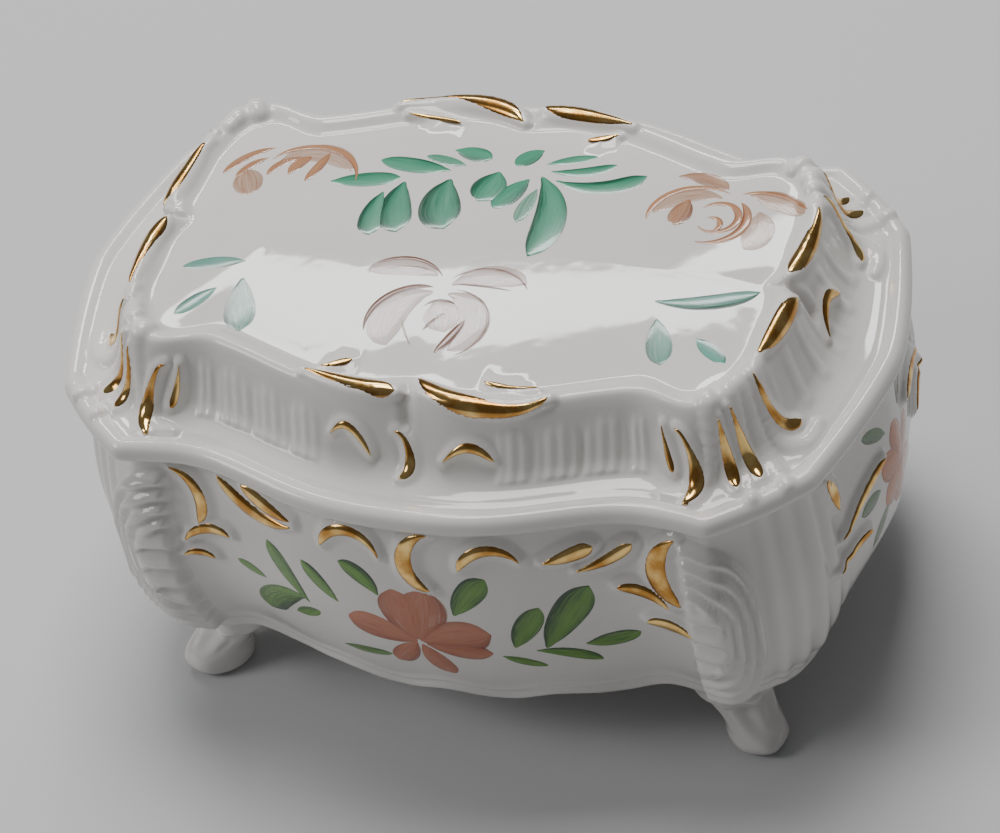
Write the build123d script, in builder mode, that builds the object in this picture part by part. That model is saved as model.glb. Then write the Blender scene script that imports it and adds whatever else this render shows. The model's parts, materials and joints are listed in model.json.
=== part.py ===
"""Porcelain trinket box: a bombe bowl on four splayed feet, with a loose cove-moulded lid.

The frame is +X along the length, +Y towards the back, +Z up, with the origin on the
table under the middle of the box. All sizes are in millimetres.
"""
from build123d import *
import os

os.makedirs("parts", exist_ok=True)

# Overall sizes, measured on the lid's rim and from the table
length = 190.0
depth = 132.0
foot_height = 16.0  # underside of the bowl above the table
bowl_height = 64.0  # from that underside to the lip that carries the lid
lid_height = 22.0  # from the lip to the crest of the panel border

# Serpentine outline of the rim: a canted corner between a bowed side and a double-curved front
cant_length = 27.5  # how far the canted corner cuts into the front
cant_depth = 27.0  # how far it cuts into the side
side_drop = 8.5  # how far the side has curved in where it meets the cant
front_drop = 9.2  # the same for the front
waist_run = 14.5  # from the cant to the hollow of the front, along the length
waist_drop = 10.8  # how far that hollow lies behind the middle of the front
flank_share = 0.6  # place of the front's flank between its middle and its hollow
flank_drop = 5.1
shoulder_share = 0.46  # place of the side's shoulder between its middle and the cant
shoulder_drop = 2.6

# Bowl
bowl_wall = 4.0
bowl_floor = 4.0
lip_inset = 5.0  # the lip's outer edge lies this far inside the lid's rim
base_end_inset = 21.5  # the base is this much shorter at each end than the rim
base_front_inset = 14.5
base_cant = 0.55  # size of the base's canted corners beside the rim's
base_sweep = 0.8  # depth of the base's curves beside the rim's

# Lid
rim_thickness = 4.2
rim_edge_inset = 1.7  # rounding of the rim, above and below
lid_wall = 4.0
border_end_inset = 23.0  # crest of the panel border, in from the rim
border_front_inset = 20.5
border_cant = 0.42
border_sweep = 0.8
border_width = 5.0
panel_recess = 1.6  # the painted panel lies this far below the border's crest

# Locating flange under the lid
flange_clearance = 0.8  # between the flange and the inside of the lip, all round
flange_wall = 3.5
flange_depth = 5.0

# Feet
foot_end_inset = 37.5  # middle of the foot's top, in from the rim's outline
foot_front_inset = 31.5
foot_splay_out = 7.0  # how far the toe stands out beyond the foot's top, along the length
foot_splay_forward = 6.3  # the same, along the depth
foot_width = 17.0  # across the foot, where it meets the bowl
pad_width = 11.0  # flat pad that stands on the table

# Levels of the joints between the pieces
flange_inset = lip_inset + bowl_wall + flange_clearance
base_level = foot_height
lip_level = foot_height + bowl_height
crest_level = lip_level + lid_height

half_length = length / 2
half_depth = depth / 2


def level_outline(height, end_inset, front_inset, cant=1.0, sweep=1.0):
    """Sketch of the serpentine outline on a level plane, drawn inside the rim's outline.

    The insets are taken at the middle of the ends and of the front and back; cant and
    sweep are the sizes of the canted corners and of the curves beside the rim's own.
    """
    end = half_length - end_inset
    front = half_depth - front_inset
    side_vertex = (end - sweep * side_drop, front - cant * cant_depth)
    front_vertex = (end - cant * cant_length, front - sweep * front_drop)
    waist = (front_vertex[0] - waist_run, front - sweep * waist_drop)
    flank = (flank_share * waist[0], front - sweep * flank_drop)
    shoulder = (end - sweep * shoulder_drop, shoulder_share * side_vertex[1])
    with BuildSketch(Plane.XY.offset(height)) as outline:
        with BuildLine():
            for turn in (1, -1):
                Spline(
                    [
                        (turn * side_vertex[0], -turn * side_vertex[1]),
                        (turn * shoulder[0], -turn * shoulder[1]),
                        (turn * end, 0),
                        (turn * shoulder[0], turn * shoulder[1]),
                        (turn * side_vertex[0], turn * side_vertex[1]),
                    ]
                )
                Line(
                    (turn * side_vertex[0], turn * side_vertex[1]),
                    (turn * front_vertex[0], turn * front_vertex[1]),
                )
                Spline(
                    [
                        (turn * front_vertex[0], turn * front_vertex[1]),
                        (turn * waist[0], turn * waist[1]),
                        (turn * flank[0], turn * flank[1]),
                        (0, turn * front),
                        (-turn * flank[0], turn * flank[1]),
                        (-turn * waist[0], turn * waist[1]),
                        (-turn * front_vertex[0], turn * front_vertex[1]),
                    ]
                )
                Line(
                    (-turn * front_vertex[0], turn * front_vertex[1]),
                    (-turn * side_vertex[0], turn * side_vertex[1]),
                )
        make_face()
    return outline.sketch


def loft_outlines(levels):
    """Sections of a loft: one level_outline for each row of levels."""
    return [level_outline(*row) for row in levels]


# Swelling of the bowl, from its base to its lip: share of the height, insets at the ends and
# at the front, size of the canted corners and depth of the curves.
bowl_profile = [
    (0.00, base_end_inset, base_front_inset, base_cant, base_sweep),
    (0.16, 11.5, 7.5, 0.85, 0.9),
    (0.34, 5.0, 3.0, 1.0, 1.0),
    (0.56, 3.2, 1.0, 1.0, 1.0),
    (0.80, 4.1, 2.0, 1.0, 1.0),
    (1.00, lip_inset, lip_inset, 1.0, 1.0),
]


def bowl_levels(bottom, wall):
    """Levels of the bowl's swelling from a bottom height to the lip, one wall inside it."""
    height = lip_level - bottom
    return [
        (bottom + share * height, end + wall, front + wall, cant, sweep)
        for share, end, front, cant, sweep in bowl_profile
    ]


# Cove of the lid, from the rounded rim up to the crest of the panel border: share of the way
# in from the rim's outline to the border's, and share of the way up from the lip.
cove_profile = [
    (0.16, 0.19),
    (0.34, 0.21),
    (0.52, 0.28),
    (0.66, 0.45),
    (0.78, 0.71),
    (0.88, 0.93),
    (1.00, 1.00),
]


def lid_outline(share, height, inset=0.0):
    """Outline of the lid, this share of the way in from the rim to the border's crest."""
    return level_outline(
        height,
        share * border_end_inset + inset,
        share * border_front_inset + inset,
        1 + share * (border_cant - 1),
        1 + share * (border_sweep - 1),
    )


def make_bowl():
    """Slip-cast bowl: the swelling outside less the same swelling one wall further in."""
    with BuildPart() as bowl:
        loft(loft_outlines(bowl_levels(base_level, 0)))
        loft(loft_outlines(bowl_levels(base_level + bowl_floor, bowl_wall)), mode=Mode.SUBTRACT)
    return bowl


def make_lid():
    """Slip-cast lid: a rounded rim, a cove up to the panel border, and the sunk panel."""
    cove = [lid_outline(share, lip_level + rise * lid_height) for share, rise in cove_profile]
    rim = [
        lid_outline(0, lip_level, rim_edge_inset),
        lid_outline(0, lip_level + rim_thickness / 2),
        cove[0],
    ]
    hollow_share = (flange_inset + flange_wall) / border_end_inset
    hollow = [
        lid_outline(hollow_share, lip_level),
        lid_outline(1, crest_level - panel_recess - lid_wall, border_width),
    ]
    with BuildPart() as lid:
        loft(rim)
        loft(cove)
        extrude(lid_outline(1, crest_level, border_width), amount=-panel_recess, mode=Mode.SUBTRACT)
        loft(hollow, mode=Mode.SUBTRACT)
    return lid


def make_flange():
    """Upright ring under the lid that keeps it in the mouth of the bowl."""
    outer = level_outline(lip_level, flange_inset, flange_inset)
    inner = level_outline(lip_level, flange_inset + flange_wall, flange_inset + flange_wall)
    with BuildPart() as flange:
        extrude(outer, amount=-flange_depth)
        extrude(inner, amount=-flange_depth, mode=Mode.SUBTRACT)
    return flange


# Splayed foot, from the table up to the bowl: share of its height, share of the splay,
# half width across the splay and half length along it, both as shares of the foot's width.
foot_profile = [
    (0.22, 0.98, 0.46, 0.48),
    (0.50, 0.72, 0.40, 0.42),
    (0.76, 0.30, 0.44, 0.44),
    (1.00, 0.00, 0.50, 0.50),
]


def make_foot(towards_end, towards_back):
    """Foot under one corner; its toe stands out diagonally and rests on a flat pad."""
    splay_angle = 45 * towards_end * towards_back
    sections = []
    pad = (0.0, 1.0, pad_width / foot_width / 2, pad_width / foot_width / 2)
    for rise, out, across, along in [pad] + foot_profile:
        middle = (
            towards_end * (half_length - foot_end_inset + out * foot_splay_out),
            towards_back * (half_depth - foot_front_inset + out * foot_splay_forward),
        )
        with BuildSketch(Plane.XY.offset(rise * foot_height)) as section:
            with Locations(middle):
                Ellipse(along * foot_width, across * foot_width, rotation=splay_angle)
        sections.append(section.sketch)
    with BuildPart() as foot:
        loft(sections)
    return foot


bowl = make_bowl()
bowl.part.label = "bowl"
export_step(bowl.part, "parts/bowl.step")

lid = make_lid()
lid.part.label = "lid"
export_step(lid.part, "parts/lid.step")

flange = make_flange()
flange.part.label = "lid_flange"
export_step(flange.part, "parts/lid_flange.step")

corners = {
    "foot_front_left": (-1, -1),
    "foot_front_right": (1, -1),
    "foot_rear_left": (-1, 1),
    "foot_rear_right": (1, 1),
}
for name, (towards_end, towards_back) in corners.items():
    foot = make_foot(towards_end, towards_back)
    foot.part.label = name
    export_step(foot.part, f"parts/{name}.step")
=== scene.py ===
# %% [markdown]
# A footed porcelain trinket box: a swelling bowl on four splayed feet, and a loose lid with a
# rolled rim, a fluted cove and a painted panel inside a raised scroll border. The bowl and the
# lid are slip-cast, so their relief runs into them without a seam. It is therefore worked out
# here as one height over each surface, and only the gold and the enamels are laid on top.

# %% Load the frame
import json
import bmesh
import bpy
import numpy as np
from mathutils import Matrix, Vector

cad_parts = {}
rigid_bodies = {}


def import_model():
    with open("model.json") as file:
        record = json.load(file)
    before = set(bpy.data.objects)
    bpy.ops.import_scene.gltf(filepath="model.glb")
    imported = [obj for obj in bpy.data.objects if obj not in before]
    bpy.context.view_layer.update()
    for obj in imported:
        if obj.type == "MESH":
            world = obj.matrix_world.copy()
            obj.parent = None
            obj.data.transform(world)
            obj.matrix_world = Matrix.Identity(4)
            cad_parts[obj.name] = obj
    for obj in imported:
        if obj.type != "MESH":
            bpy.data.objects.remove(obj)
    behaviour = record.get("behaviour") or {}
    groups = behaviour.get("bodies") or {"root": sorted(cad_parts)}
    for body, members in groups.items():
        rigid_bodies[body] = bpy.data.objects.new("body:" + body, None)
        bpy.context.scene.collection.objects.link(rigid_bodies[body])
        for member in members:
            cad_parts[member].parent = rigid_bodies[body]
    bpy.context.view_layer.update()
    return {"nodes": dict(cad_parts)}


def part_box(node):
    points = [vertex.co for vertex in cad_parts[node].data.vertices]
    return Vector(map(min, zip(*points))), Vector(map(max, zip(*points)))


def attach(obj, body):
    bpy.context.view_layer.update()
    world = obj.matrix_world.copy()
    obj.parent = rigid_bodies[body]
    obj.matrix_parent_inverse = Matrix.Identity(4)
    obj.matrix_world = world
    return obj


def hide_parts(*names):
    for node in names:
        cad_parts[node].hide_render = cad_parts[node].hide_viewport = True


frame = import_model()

MM = 0.001


# %% [markdown]
# Every level of the box is the same serpentine outline drawn larger or smaller. A plain polar
# angle would stretch it at the corners, so places are counted as on a running track: a straight
# spine inside the box with a half circle at each end. A bearing is a distance round that track
# from the middle of the front, and a reach is the distance out from the spine.

# %% Levels and lengths read from the frame, in millimetres
rim_low, rim_high = (np.array(corner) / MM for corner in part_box("lid"))
bowl_low = np.array(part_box("bowl")[0]) / MM
half_length = rim_high[0]
half_depth = rim_high[1]
lip_level = rim_low[2]
crest_level = rim_high[2]
base_level = bowl_low[2]
print("rim", half_length, half_depth, "lip", lip_level, "crest", crest_level, "base", base_level)

# %% The track of bearings
spine_half = 45.0
track_radius = 50.0
quarter_turn = track_radius * np.pi / 2
lap = 4 * (spine_half + quarter_turn)


def track(bearing):
    """Foot on the spine and outward direction for each bearing.

    Along a straight the foot moves and the direction stays; round an end the foot stays at
    the spine's end and the direction turns by the bearing over the track's radius.
    """
    b = np.mod(np.asarray(bearing, float) + lap / 2, lap) - lap / 2
    side = np.where(b < 0, -1.0, 1.0)
    run = np.abs(b)
    turn = np.clip((run - spine_half) / track_radius, 0, np.pi)
    back = np.clip(run - spine_half - 2 * quarter_turn, 0, spine_half)
    foot = side * (np.minimum(run, spine_half) - back)
    return foot, side * np.sin(turn), -np.cos(turn)


def bearing_of(x, y):
    """Bearing and reach of plan places: the inverse of track()."""
    foot = np.clip(x, -spine_half, spine_half)
    across = x - foot
    reach = np.hypot(across, y)
    turn = np.arctan2(np.abs(across), -y)
    run = np.where(
        np.abs(x) > spine_half,
        spine_half + track_radius * turn,
        np.where(y < 0, np.abs(x), lap / 2 - np.abs(x)),
    )
    return np.where(x < 0, -run, run), reach


print("lap of the track", round(lap, 1), "mm")

# %% [markdown]
# The rim's outline has a canted corner between a bowed end and a double-curved front. Each
# stretch is a short formula for one quarter, and the other quarters mirror it.

# %% The rim's outline
cant_length, cant_depth = 27.5, 27.0
side_drop, front_drop = 8.5, 9.2
waist_place, waist_drop = 53.0, 10.8
cant_bulge = 0.8


def quarter_outline(count=400):
    """Plan points of the back right quarter, from the middle of the end to the middle of the back.

    End: the half length less a drop that grows as the 1.5th power of the depth.
    Cant: a straight line with a slight bulge. Back: one cosine sweep from the middle to the
    waist, then a small flare up to the cant.
    """
    y = np.linspace(0, half_depth - cant_depth, count)
    x = half_length - side_drop * (y / y[-1]) ** 1.5
    share = np.linspace(0, 1, count)
    start = np.array([x[-1], y[-1]])
    stop = np.array([half_length - cant_length, half_depth - front_drop])
    line = start + share[:, None] * (stop - start)
    normal = np.array([stop[1] - start[1], start[0] - stop[0]])
    normal /= np.hypot(*normal)
    line += cant_bulge * np.sin(np.pi * share)[:, None] * normal
    along = np.linspace(stop[0], 0, 2 * count)
    sweep = np.minimum(along / waist_place, 1) ** 1.35
    flare = np.clip((along - waist_place) / (stop[0] - waist_place), 0, 1) ** 1.5
    depth = half_depth - waist_drop / 2 * (1 - np.cos(np.pi * sweep))
    depth += (waist_drop - front_drop) * flare
    return np.concatenate([np.column_stack([x, y]), line, np.column_stack([along, depth])])


def soften(values, width, step):
    """Round off a closed table of values by a bell-shaped running mean."""
    count = int(3 * width / step)
    bell = np.exp(-0.5 * (np.arange(-count, count + 1) * step / width) ** 2)
    wrapped = np.concatenate([values[-count:], values, values[:count]])
    return np.convolve(wrapped, bell / bell.sum(), mode="valid")


quarter = quarter_outline()
quarter_bearing, quarter_reach = bearing_of(quarter[:, 0], quarter[:, 1])
table_step = 0.25
table_bearing = np.arange(-lap / 2, lap / 2, table_step)
folded = lap / 4 + np.abs(lap / 4 - np.abs(table_bearing))
order = np.argsort(quarter_bearing)
rim_table = soften(np.interp(folded, quarter_bearing[order], quarter_reach[order]), 0.8, table_step)


def rim_reach(bearing):
    """Reach of the rim's outline, looked up in the table of one lap."""
    return np.interp(bearing, table_bearing, rim_table, period=lap)


def fold(bearing):
    """Bearing folded into the front right quarter, 0 at the front and lap/4 at the end."""
    b = np.abs(np.mod(np.asarray(bearing, float) + lap / 2, lap) - lap / 2)
    return np.minimum(b, lap / 2 - b)


cant_x = half_length - cant_length / 2 - side_drop / 2
cant_y = -(half_depth - cant_depth / 2 - front_drop / 2)
cant_bearing = float(bearing_of(cant_x, cant_y)[0])
print("cant at bearing", round(cant_bearing, 1), "of a quarter", round(lap / 4, 1))

# %% [markdown]
# The lid's top is a profile carried round the rim. Its own coordinate is the inset, the distance
# in from the rim along the track's direction. First come the rolled rim and a groove, then the
# cove that climbs to the scroll border, and last the panel, which is slightly crowned like a
# watch glass. The border's inset varies: it swings in at the middle of each side, where two
# scrolls meet, and swings out to a knob at each corner.

# %% A smooth curve through a few knots
def curve(x, knots):
    """Cubic curve through (place, value) knots, with each knot's slope taken from its neighbours."""
    places, values = np.array(knots, float).T
    slopes = np.gradient(values, places)
    x = np.clip(x, places[0], places[-1])
    i = np.clip(np.searchsorted(places, x) - 1, 0, len(places) - 2)
    span = places[i + 1] - places[i]
    t = (x - places[i]) / span
    return (
        (2 * t**3 - 3 * t**2 + 1) * values[i]
        + (t**3 - 2 * t**2 + t) * span * slopes[i]
        + (3 * t**2 - 2 * t**3) * values[i + 1]
        + (t**3 - t**2) * span * slopes[i + 1]
    )


def bump(x, place, width):
    """Bell-shaped bump of height one."""
    return np.exp(-(((x - place) / width) ** 2))


# %% The lid's profile
side_border, end_border, knob_place = 19.3, 21.3, 73.0
cove_start = 6.4
cove_foot, panel_edge, panel_crown = 84.1, 100.2, 1.4
rim_profile = [
    (0, 82.3), (0.3, 83.2), (1.0, 84.1), (2.2, 84.7), (3.4, 84.6), (4.5, 83.9), (5.3, 83.6), (6.4, 84.1),
]
cove_rise = [
    (0, 0), (0.15, 0.015), (0.3, 0.05), (0.42, 0.11), (0.52, 0.2), (0.61, 0.34), (0.69, 0.5),
    (0.75, 0.66), (0.8, 0.79), (0.86, 0.89), (0.93, 0.97), (1, 1),
]
crest_fall = [(0, 0), (0.9, -0.03), (1.9, -0.25), (3.0, -0.85), (4.0, -1.35), (5.2, -1.6)]
crest_top = panel_edge + 1.6


def border_plan(bearing):
    """Inset of the border before it is smoothed.

    It is one mean along the sides and another at the ends, with two inward notches, a waist
    and an outward knob.
    """
    f = fold(bearing)
    end = np.clip((f - 60) / 35, 0, 1)
    return (
        side_border
        + (end_border - side_border) * end * end * (3 - 2 * end)
        + 3.0 * bump(f, 0, 6)
        + 2.9 * bump(f, lap / 4, 8)
        + 0.8 * bump(f, 50, 9)
        - 2.6 * bump(f, knob_place, 7)
    )


border_table = soften(rim_table - border_plan(table_bearing), 3.0, table_step)


def border_inset(bearing):
    """Inset of the border's crest: the rim's reach less the smoothed reach of the border."""
    return rim_reach(bearing) - np.interp(bearing, table_bearing, border_table, period=lap)


def lid_height(bearing, inset):
    """Height of the lid's smooth top: rim, cove, border and crowned panel, by the inset."""
    border = border_inset(bearing)
    rim = curve(inset, rim_profile)
    climb = np.clip((inset - cove_start) / (border - cove_start), 0, 1)
    cove = cove_foot + (crest_top - cove_foot) * curve(climb, cove_rise)
    fall = crest_top + curve(inset - border, crest_fall)
    reach = np.clip(rim_reach(bearing) - inset, 0, None)
    inner = rim_reach(bearing) - border - 4.5
    crown = panel_crown * np.clip(1 - (reach / inner) ** 2, 0, 1)
    return np.where(inset < cove_start, rim, np.where(inset < border, cove, fall + crown))


def lid_base(x, y):
    """The lid's smooth top over plan places, as an array of points."""
    bearing, reach = bearing_of(x, y)
    return np.stack([x, y, lid_height(bearing, rim_reach(bearing) - reach)], axis=-1)


# %% The bowl's profile
lip_inset = 5.0
front_swell = [
    (16, 14.5), (18, 12), (22, 9.3), (28, 6.4), (36, 3.6),
    (46, 1.5), (54, 0.9), (64, 1.6), (73, 3.2), (80, 5),
]
end_swell = [
    (16, 21.5), (18, 19), (22, 14.5), (28, 9.5), (36, 5.5),
    (44, 3.8), (54, 3.2), (64, 3.9), (72, 4.6), (80, 5),
]
corner_swell = [
    (16, 14), (18, 12), (22, 8.5), (28, 4.5), (36, 2.2),
    (46, 1.4), (56, 1.6), (66, 2.8), (73, 4), (80, 5),
]


def bowl_inset(bearing, height):
    """How far the bowl's outside lies in from the rim's outline: front, corner and end swellings mixed."""
    f = fold(bearing)
    corner = bump(f, cant_bearing, 14)
    end = np.clip((f - 55) / 40, 0, 1)
    end = end * end * (3 - 2 * end)
    plain = (1 - end) * curve(height, front_swell) + end * curve(height, end_swell)
    return (1 - corner) * plain + corner * curve(height, corner_swell)


def bowl_base(bearing, height):
    """The bowl's smooth outside, as an array of points."""
    foot, out_x, out_y = track(bearing)
    reach = rim_reach(bearing) - bowl_inset(bearing, height)
    return np.stack([foot + out_x * reach, out_y * reach, height + 0 * reach], axis=-1)


# %% [markdown]
# Every painted or gilded stroke on the box was made in one pull of a loaded brush, so each is
# written as one row: where it starts, where it heads, how long it is, how far it bends, how wide
# it is and where along it the width is full. Lengths are in millimetres and angles in degrees.
# A row is easy to change by hand, and copies are mirrored or turned row by row. The rows were
# typed in, but most of them restate strokes that an earlier program had worked out,
# so their numbers are not an example to follow.

# %% A stroke from one row
stroke_points = 13


def stroke(x, y, heading, length, bend, width, belly, *finish):
    """Path and widths of one stroke: an arc from (x, y) whose heading turns evenly by the bend.

    The width is full at the belly, a share of the length. It falls as a cosine, to a power, towards the
    farther end and as an ellipse towards the nearer one. What follows the belly is passed on.
    """
    run = np.linspace(0, 1, stroke_points)
    turn = np.radians(heading + bend * (run[1:] + run[:-1]) / 2)
    step = length / (stroke_points - 1)
    path = np.cumsum(np.vstack([[x, y], step * np.column_stack([np.cos(turn), np.sin(turn)])]), axis=0)
    share = np.where(run > belly, (run - belly) / (1 - belly), (belly - run) / belly)
    farther = (run > belly) == (belly < 0.5)
    fall = np.where(farther, np.cos(np.pi / 2 * share) ** 0.75, np.sqrt(np.clip(1 - share**2, 0, 1)))
    return path, width * np.clip(fall, 0.22, 1), *finish


def placed(rows, x, y):
    """The rows measured from a place."""
    return [(x + row[0], y + row[1], *row[2:]) for row in rows]


def mirrored(rows, middle=0):
    """The rows mirrored left to right about a middle."""
    return [
        (2 * middle - x, y, 180 - heading, length, -bend, *rest)
        for x, y, heading, length, bend, *rest in rows
    ]


def turned(rows):
    """The rows turned half round about the middle of the box."""
    return [(-x, -y, heading + 180, *rest) for x, y, heading, *rest in rows]


def crest_place(bearing):
    """Plan place of the border's crest at a bearing."""
    foot, out_x, out_y = track(bearing)
    reach = rim_reach(bearing) - border_inset(bearing)
    return float(foot + out_x * reach), float(out_y * reach)


# %% [markdown]
# The gilder followed the raised scrolls, so each gold stroke has a tongue of porcelain under it.
# The same rows therefore serve twice: they raise the tongues, and later they are gilded. The
# front scrolls start from the notch in the middle of the border, the corner scrolls from the
# knob, and the end scrolls from the notch at the end. The mould maker repeated the corners on
# all four sides, and turned the front and the right-hand end half round for the others.

# %% Gold strokes on the lid
front_scrolls = [
    (-21.5, 3.6, 33, 7.5, -12, 2.0, 0.65),
    (-24, 1.4, -12, 22, 12, 3.3, 0.78),
    (-17, -5.6, 16, 10, -56, 2.3, 0.55),
    (-2.5, -4.6, 10, 9.5, -172, 2.7, 0.6),
    (1.2, 3.0, -36, 32, 70, 3.8, 0.32),
    (15.5, 5.4, -12, 13, 14, 1.8, 0.4),
    (8.7, -7.4, 26, 11.5, -36, 2.6, 0.6),
]
corner_scrolls = [
    (-11.5, -5, -66, 5.0, 15, 2.7, 0.6),
    (-8.5, -5.8, -12, 13, -125, 3.1, 0.6),
    (-0.5, -3.2, -48, 8.5, -12, 2.9, 0.55),
    (1.2, -0.8, -22, 9.5, -30, 3.2, 0.6),
    (4.2, 7.6, -40, 10.5, 120, 3.2, 0.7),
]
end_scrolls = [
    (0.6, 23.5, -77, 21.5, -28, 3.1, 0.74),
    (7.2, 10, -115, 12.5, 60, 3.0, 0.35),
    (2.7, -3, -92, 19.5, -10, 3.6, 0.32),
]
notch, knob, end_notch = crest_place(0.0), crest_place(knob_place), crest_place(lap / 4)
corner_rows = placed(corner_scrolls, *knob)
half_rows = (
    placed(front_scrolls, *notch)
    + corner_rows
    + mirrored(corner_rows)
    + placed(end_scrolls, *end_notch)
)
lid_strokes = [stroke(*row) for row in half_rows + turned(half_rows)]
print(len(lid_strokes), "gold strokes on the lid")
print("notch, knob and end notch at", np.round([notch, knob, end_notch], 1))

# %% Gold strokes on the bowl: bearing from the middle of the front, and height
face_scrolls = [
    (-57, 76.5, -20, 17.5, -100, 3.2, 0.65),
    (-55.5, 56.5, 62, 13, -86, 3.0, 0.6),
    (-56.5, 52, 38, 7.5, -74, 2.1, 0.5),
    (-45.5, 76.5, -52, 21.5, 74, 4.0, 0.42),
    (-39, 76.5, -32, 13.5, 32, 4.0, 0.42),
    (-19, 69.5, 78, 19, -155, 2.9, 0.4),
    (6.5, 77, 190, 20, 155, 4.0, 0.55),
    (12.5, 68.5, 74, 16.5, -132, 2.9, 0.4),
    (30, 69.5, 8, 11, 15, 4.0, 0.72),
    (36.5, 66.5, 8, 14, 38, 3.1, 0.72),
    (58, 75, 214, 21, 108, 5.0, 0.55),
    (44.5, 61, 0, 12, -55, 3.4, 0.45),
    (49.5, 50.8, 6, 10, -52, 3.5, 0.45),
]
side_scrolls = [
    (114, 61, 180, 22.5, 26, 2.8, 0.35),
    (104, 48, 158, 15, 34, 2.2, 0.4),
    (90.5, 75, -60, 11, -34, 3.0, 0.45),
]


def carried(rows):
    """The rows carried half a lap round the bowl."""
    return [(row[0] - lap / 2, *row[1:]) for row in rows]


half_bowl = face_scrolls + side_scrolls + mirrored(side_scrolls, lap / 4)
bowl_strokes = [stroke(*row) for row in half_bowl + carried(half_bowl)]
print(len(bowl_strokes), "gold strokes on the bowl")

# %% [markdown]
# A stroke's centre line is rounded with the same cubic curve as the profiles, counted by its
# length. The tongue under it is highest on that line and dies out a little beyond the gold, so
# that a white edge shows round every gilded scroll.

# %% Stroke lines and the tongues under them
def stroke_line(path, widths, count):
    """Evenly spaced places and widths along a stroke.

    Each coordinate, and the width, is a cubic curve of the length run along the stroke.
    """
    path, widths = np.array(path, float), np.array(widths, float)
    run = np.concatenate([[0], np.cumsum(np.hypot(*np.diff(path, axis=0).T))])
    at = np.linspace(0, run[-1], count)
    places = np.column_stack([curve(at, np.column_stack([run, path[:, i]])) for i in (0, 1)])
    return places, curve(at, np.column_stack([run, widths])), at


def ridge_lines(surface, strokes):
    """Centre lines in space, with their widths, of strokes drawn on a surface."""
    lines = []
    for path, widths in strokes:
        places, width, _ = stroke_line(path, widths, 22)
        lines.append((surface(places[:, 0], places[:, 1]), width))
    return lines


def tongues(skin, lines, margin, height):
    """Height raised under lines at the points of a skin: the largest single one at each point.

    A tongue is a flat-topped bell of the distance in space from the line, over the half width
    plus a margin.
    """
    raised = np.zeros(skin.shape[:-1])
    for line, width in lines:
        reach = width.max() / 2 + margin
        middle, half = (line.min(axis=0) + line.max(axis=0)) / 2, np.ptp(line, axis=0) / 2
        near = (np.abs(skin - middle) < half + 1.6 * reach).all(axis=-1)
        if not near.any():
            continue
        distance = np.linalg.norm(skin[near][:, None] - line, axis=-1)
        scaled = (distance / (width / 2 + margin)).min(axis=1)
        tongue = height * np.exp(-(scaled**4)) * (0.75 + 0.25 * np.exp(-(scaled**2)))
        raised[near] = np.maximum(raised[near], tongue)
    return raised


def window(x, low, high, soft):
    """One between low and high, falling smoothly to nothing over the soft width outside them."""
    rise = np.clip((x - low) / soft + 1, 0, 1)
    fall = np.clip((high - x) / soft + 1, 0, 1)
    edge = np.minimum(rise, fall)
    return edge * edge * (3 - 2 * edge)


# %% [markdown]
# Besides the tongues, the lid's cove carries short flutes between the scrolls of each side,
# gathered in scallops, and a few broad ruffles at each end. The border is cut through where two
# scrolls meet, at the middle of every side, and it swells to a knob at the corners. From each
# knob two ribs run down to the canted corner of the rim, and two more curl away beside them.

# %% The lid's relief
flute_pitch, scallop_pitch, ruffle_pitch = 2.6, 9.4, 11
flutes_from, flutes_to = 22, 51
ruffles_from, ruffles_to = 93, 118
corner_ribs = [
    ([(68, -32), (70.5, -36.5), (73, -42), (75, -47)], [2.6, 2.8, 2.6, 1.2]),
    ([(69, -30), (73, -33.5), (78, -38.5), (81.5, -42)], [2.6, 2.8, 2.6, 1.2]),
    ([(63, -35), (65.2, -39), (64.5, -44), (60, -48.5), (56, -49)], [2.2, 2.4, 2.6, 2.6, 1.2]),
    ([(71.5, -24), (73, -29), (77, -31), (82, -28.5), (83, -23)], [2.2, 2.6, 3.0, 2.8, 1.4]),
]

lid_lines = ridge_lines(lid_base, lid_strokes)
rib_lines = ridge_lines(lid_base, corner_ribs)


def lid_relief(x, y):
    """Height of the carving over the lid's smooth top.

    Tongues and ribs are bells of the distance from their lines. Flutes are a cosine of the
    bearing inside a window of insets whose upper edge is scalloped. The cuts are narrow
    troughs across the border.
    """
    bearing, reach = bearing_of(x, y)
    f = fold(bearing)
    inset = rim_reach(bearing) - reach
    border = border_inset(bearing)
    skin = lid_base(x, y)
    quarter_skin = np.abs(skin) * [1, -1, 1]
    raised = np.maximum(tongues(skin, lid_lines, 1.0, 1.15), tongues(quarter_skin, rib_lines, 0.8, 1.1))
    scallop = np.abs(np.sin(np.pi * f / scallop_pitch)) ** 0.6
    fluted = window(f, flutes_from, flutes_to, 3) * window(inset, 11.6, border - 4.8 + 0.9 * scallop, 1.3)
    flutes = fluted * (0.65 * scallop + 0.16 * np.cos(2 * np.pi * f / flute_pitch))
    ruffled = window(f, ruffles_from, ruffles_to, 6) * window(inset, 13, border - 4, 2)
    ruffles = 0.45 * ruffled * np.cos(2 * np.pi * f / ruffle_pitch)
    across_border = window(inset - border, -7, 1.5, 3)
    cuts = 1.3 * across_border * (bump(f, 0, 1.3) + bump(f, lap / 4, 1.5))
    knob = 1.0 * bump(f, knob_place - 1, 4.5) * bump(inset, border + 0.5, 3.4)
    return np.maximum(raised, flutes + ruffles) - cuts * (raised < 0.2) + knob


def normals_of(surface, u, v, step=0.15):
    """Unit normals of a surface over (u, v), from the cross product of its two slopes."""
    along = surface(u + step, v) - surface(u - step, v)
    across = surface(u, v + step) - surface(u, v - step)
    normal = np.cross(along, across)
    return normal / np.linalg.norm(normal, axis=-1, keepdims=True)


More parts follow.
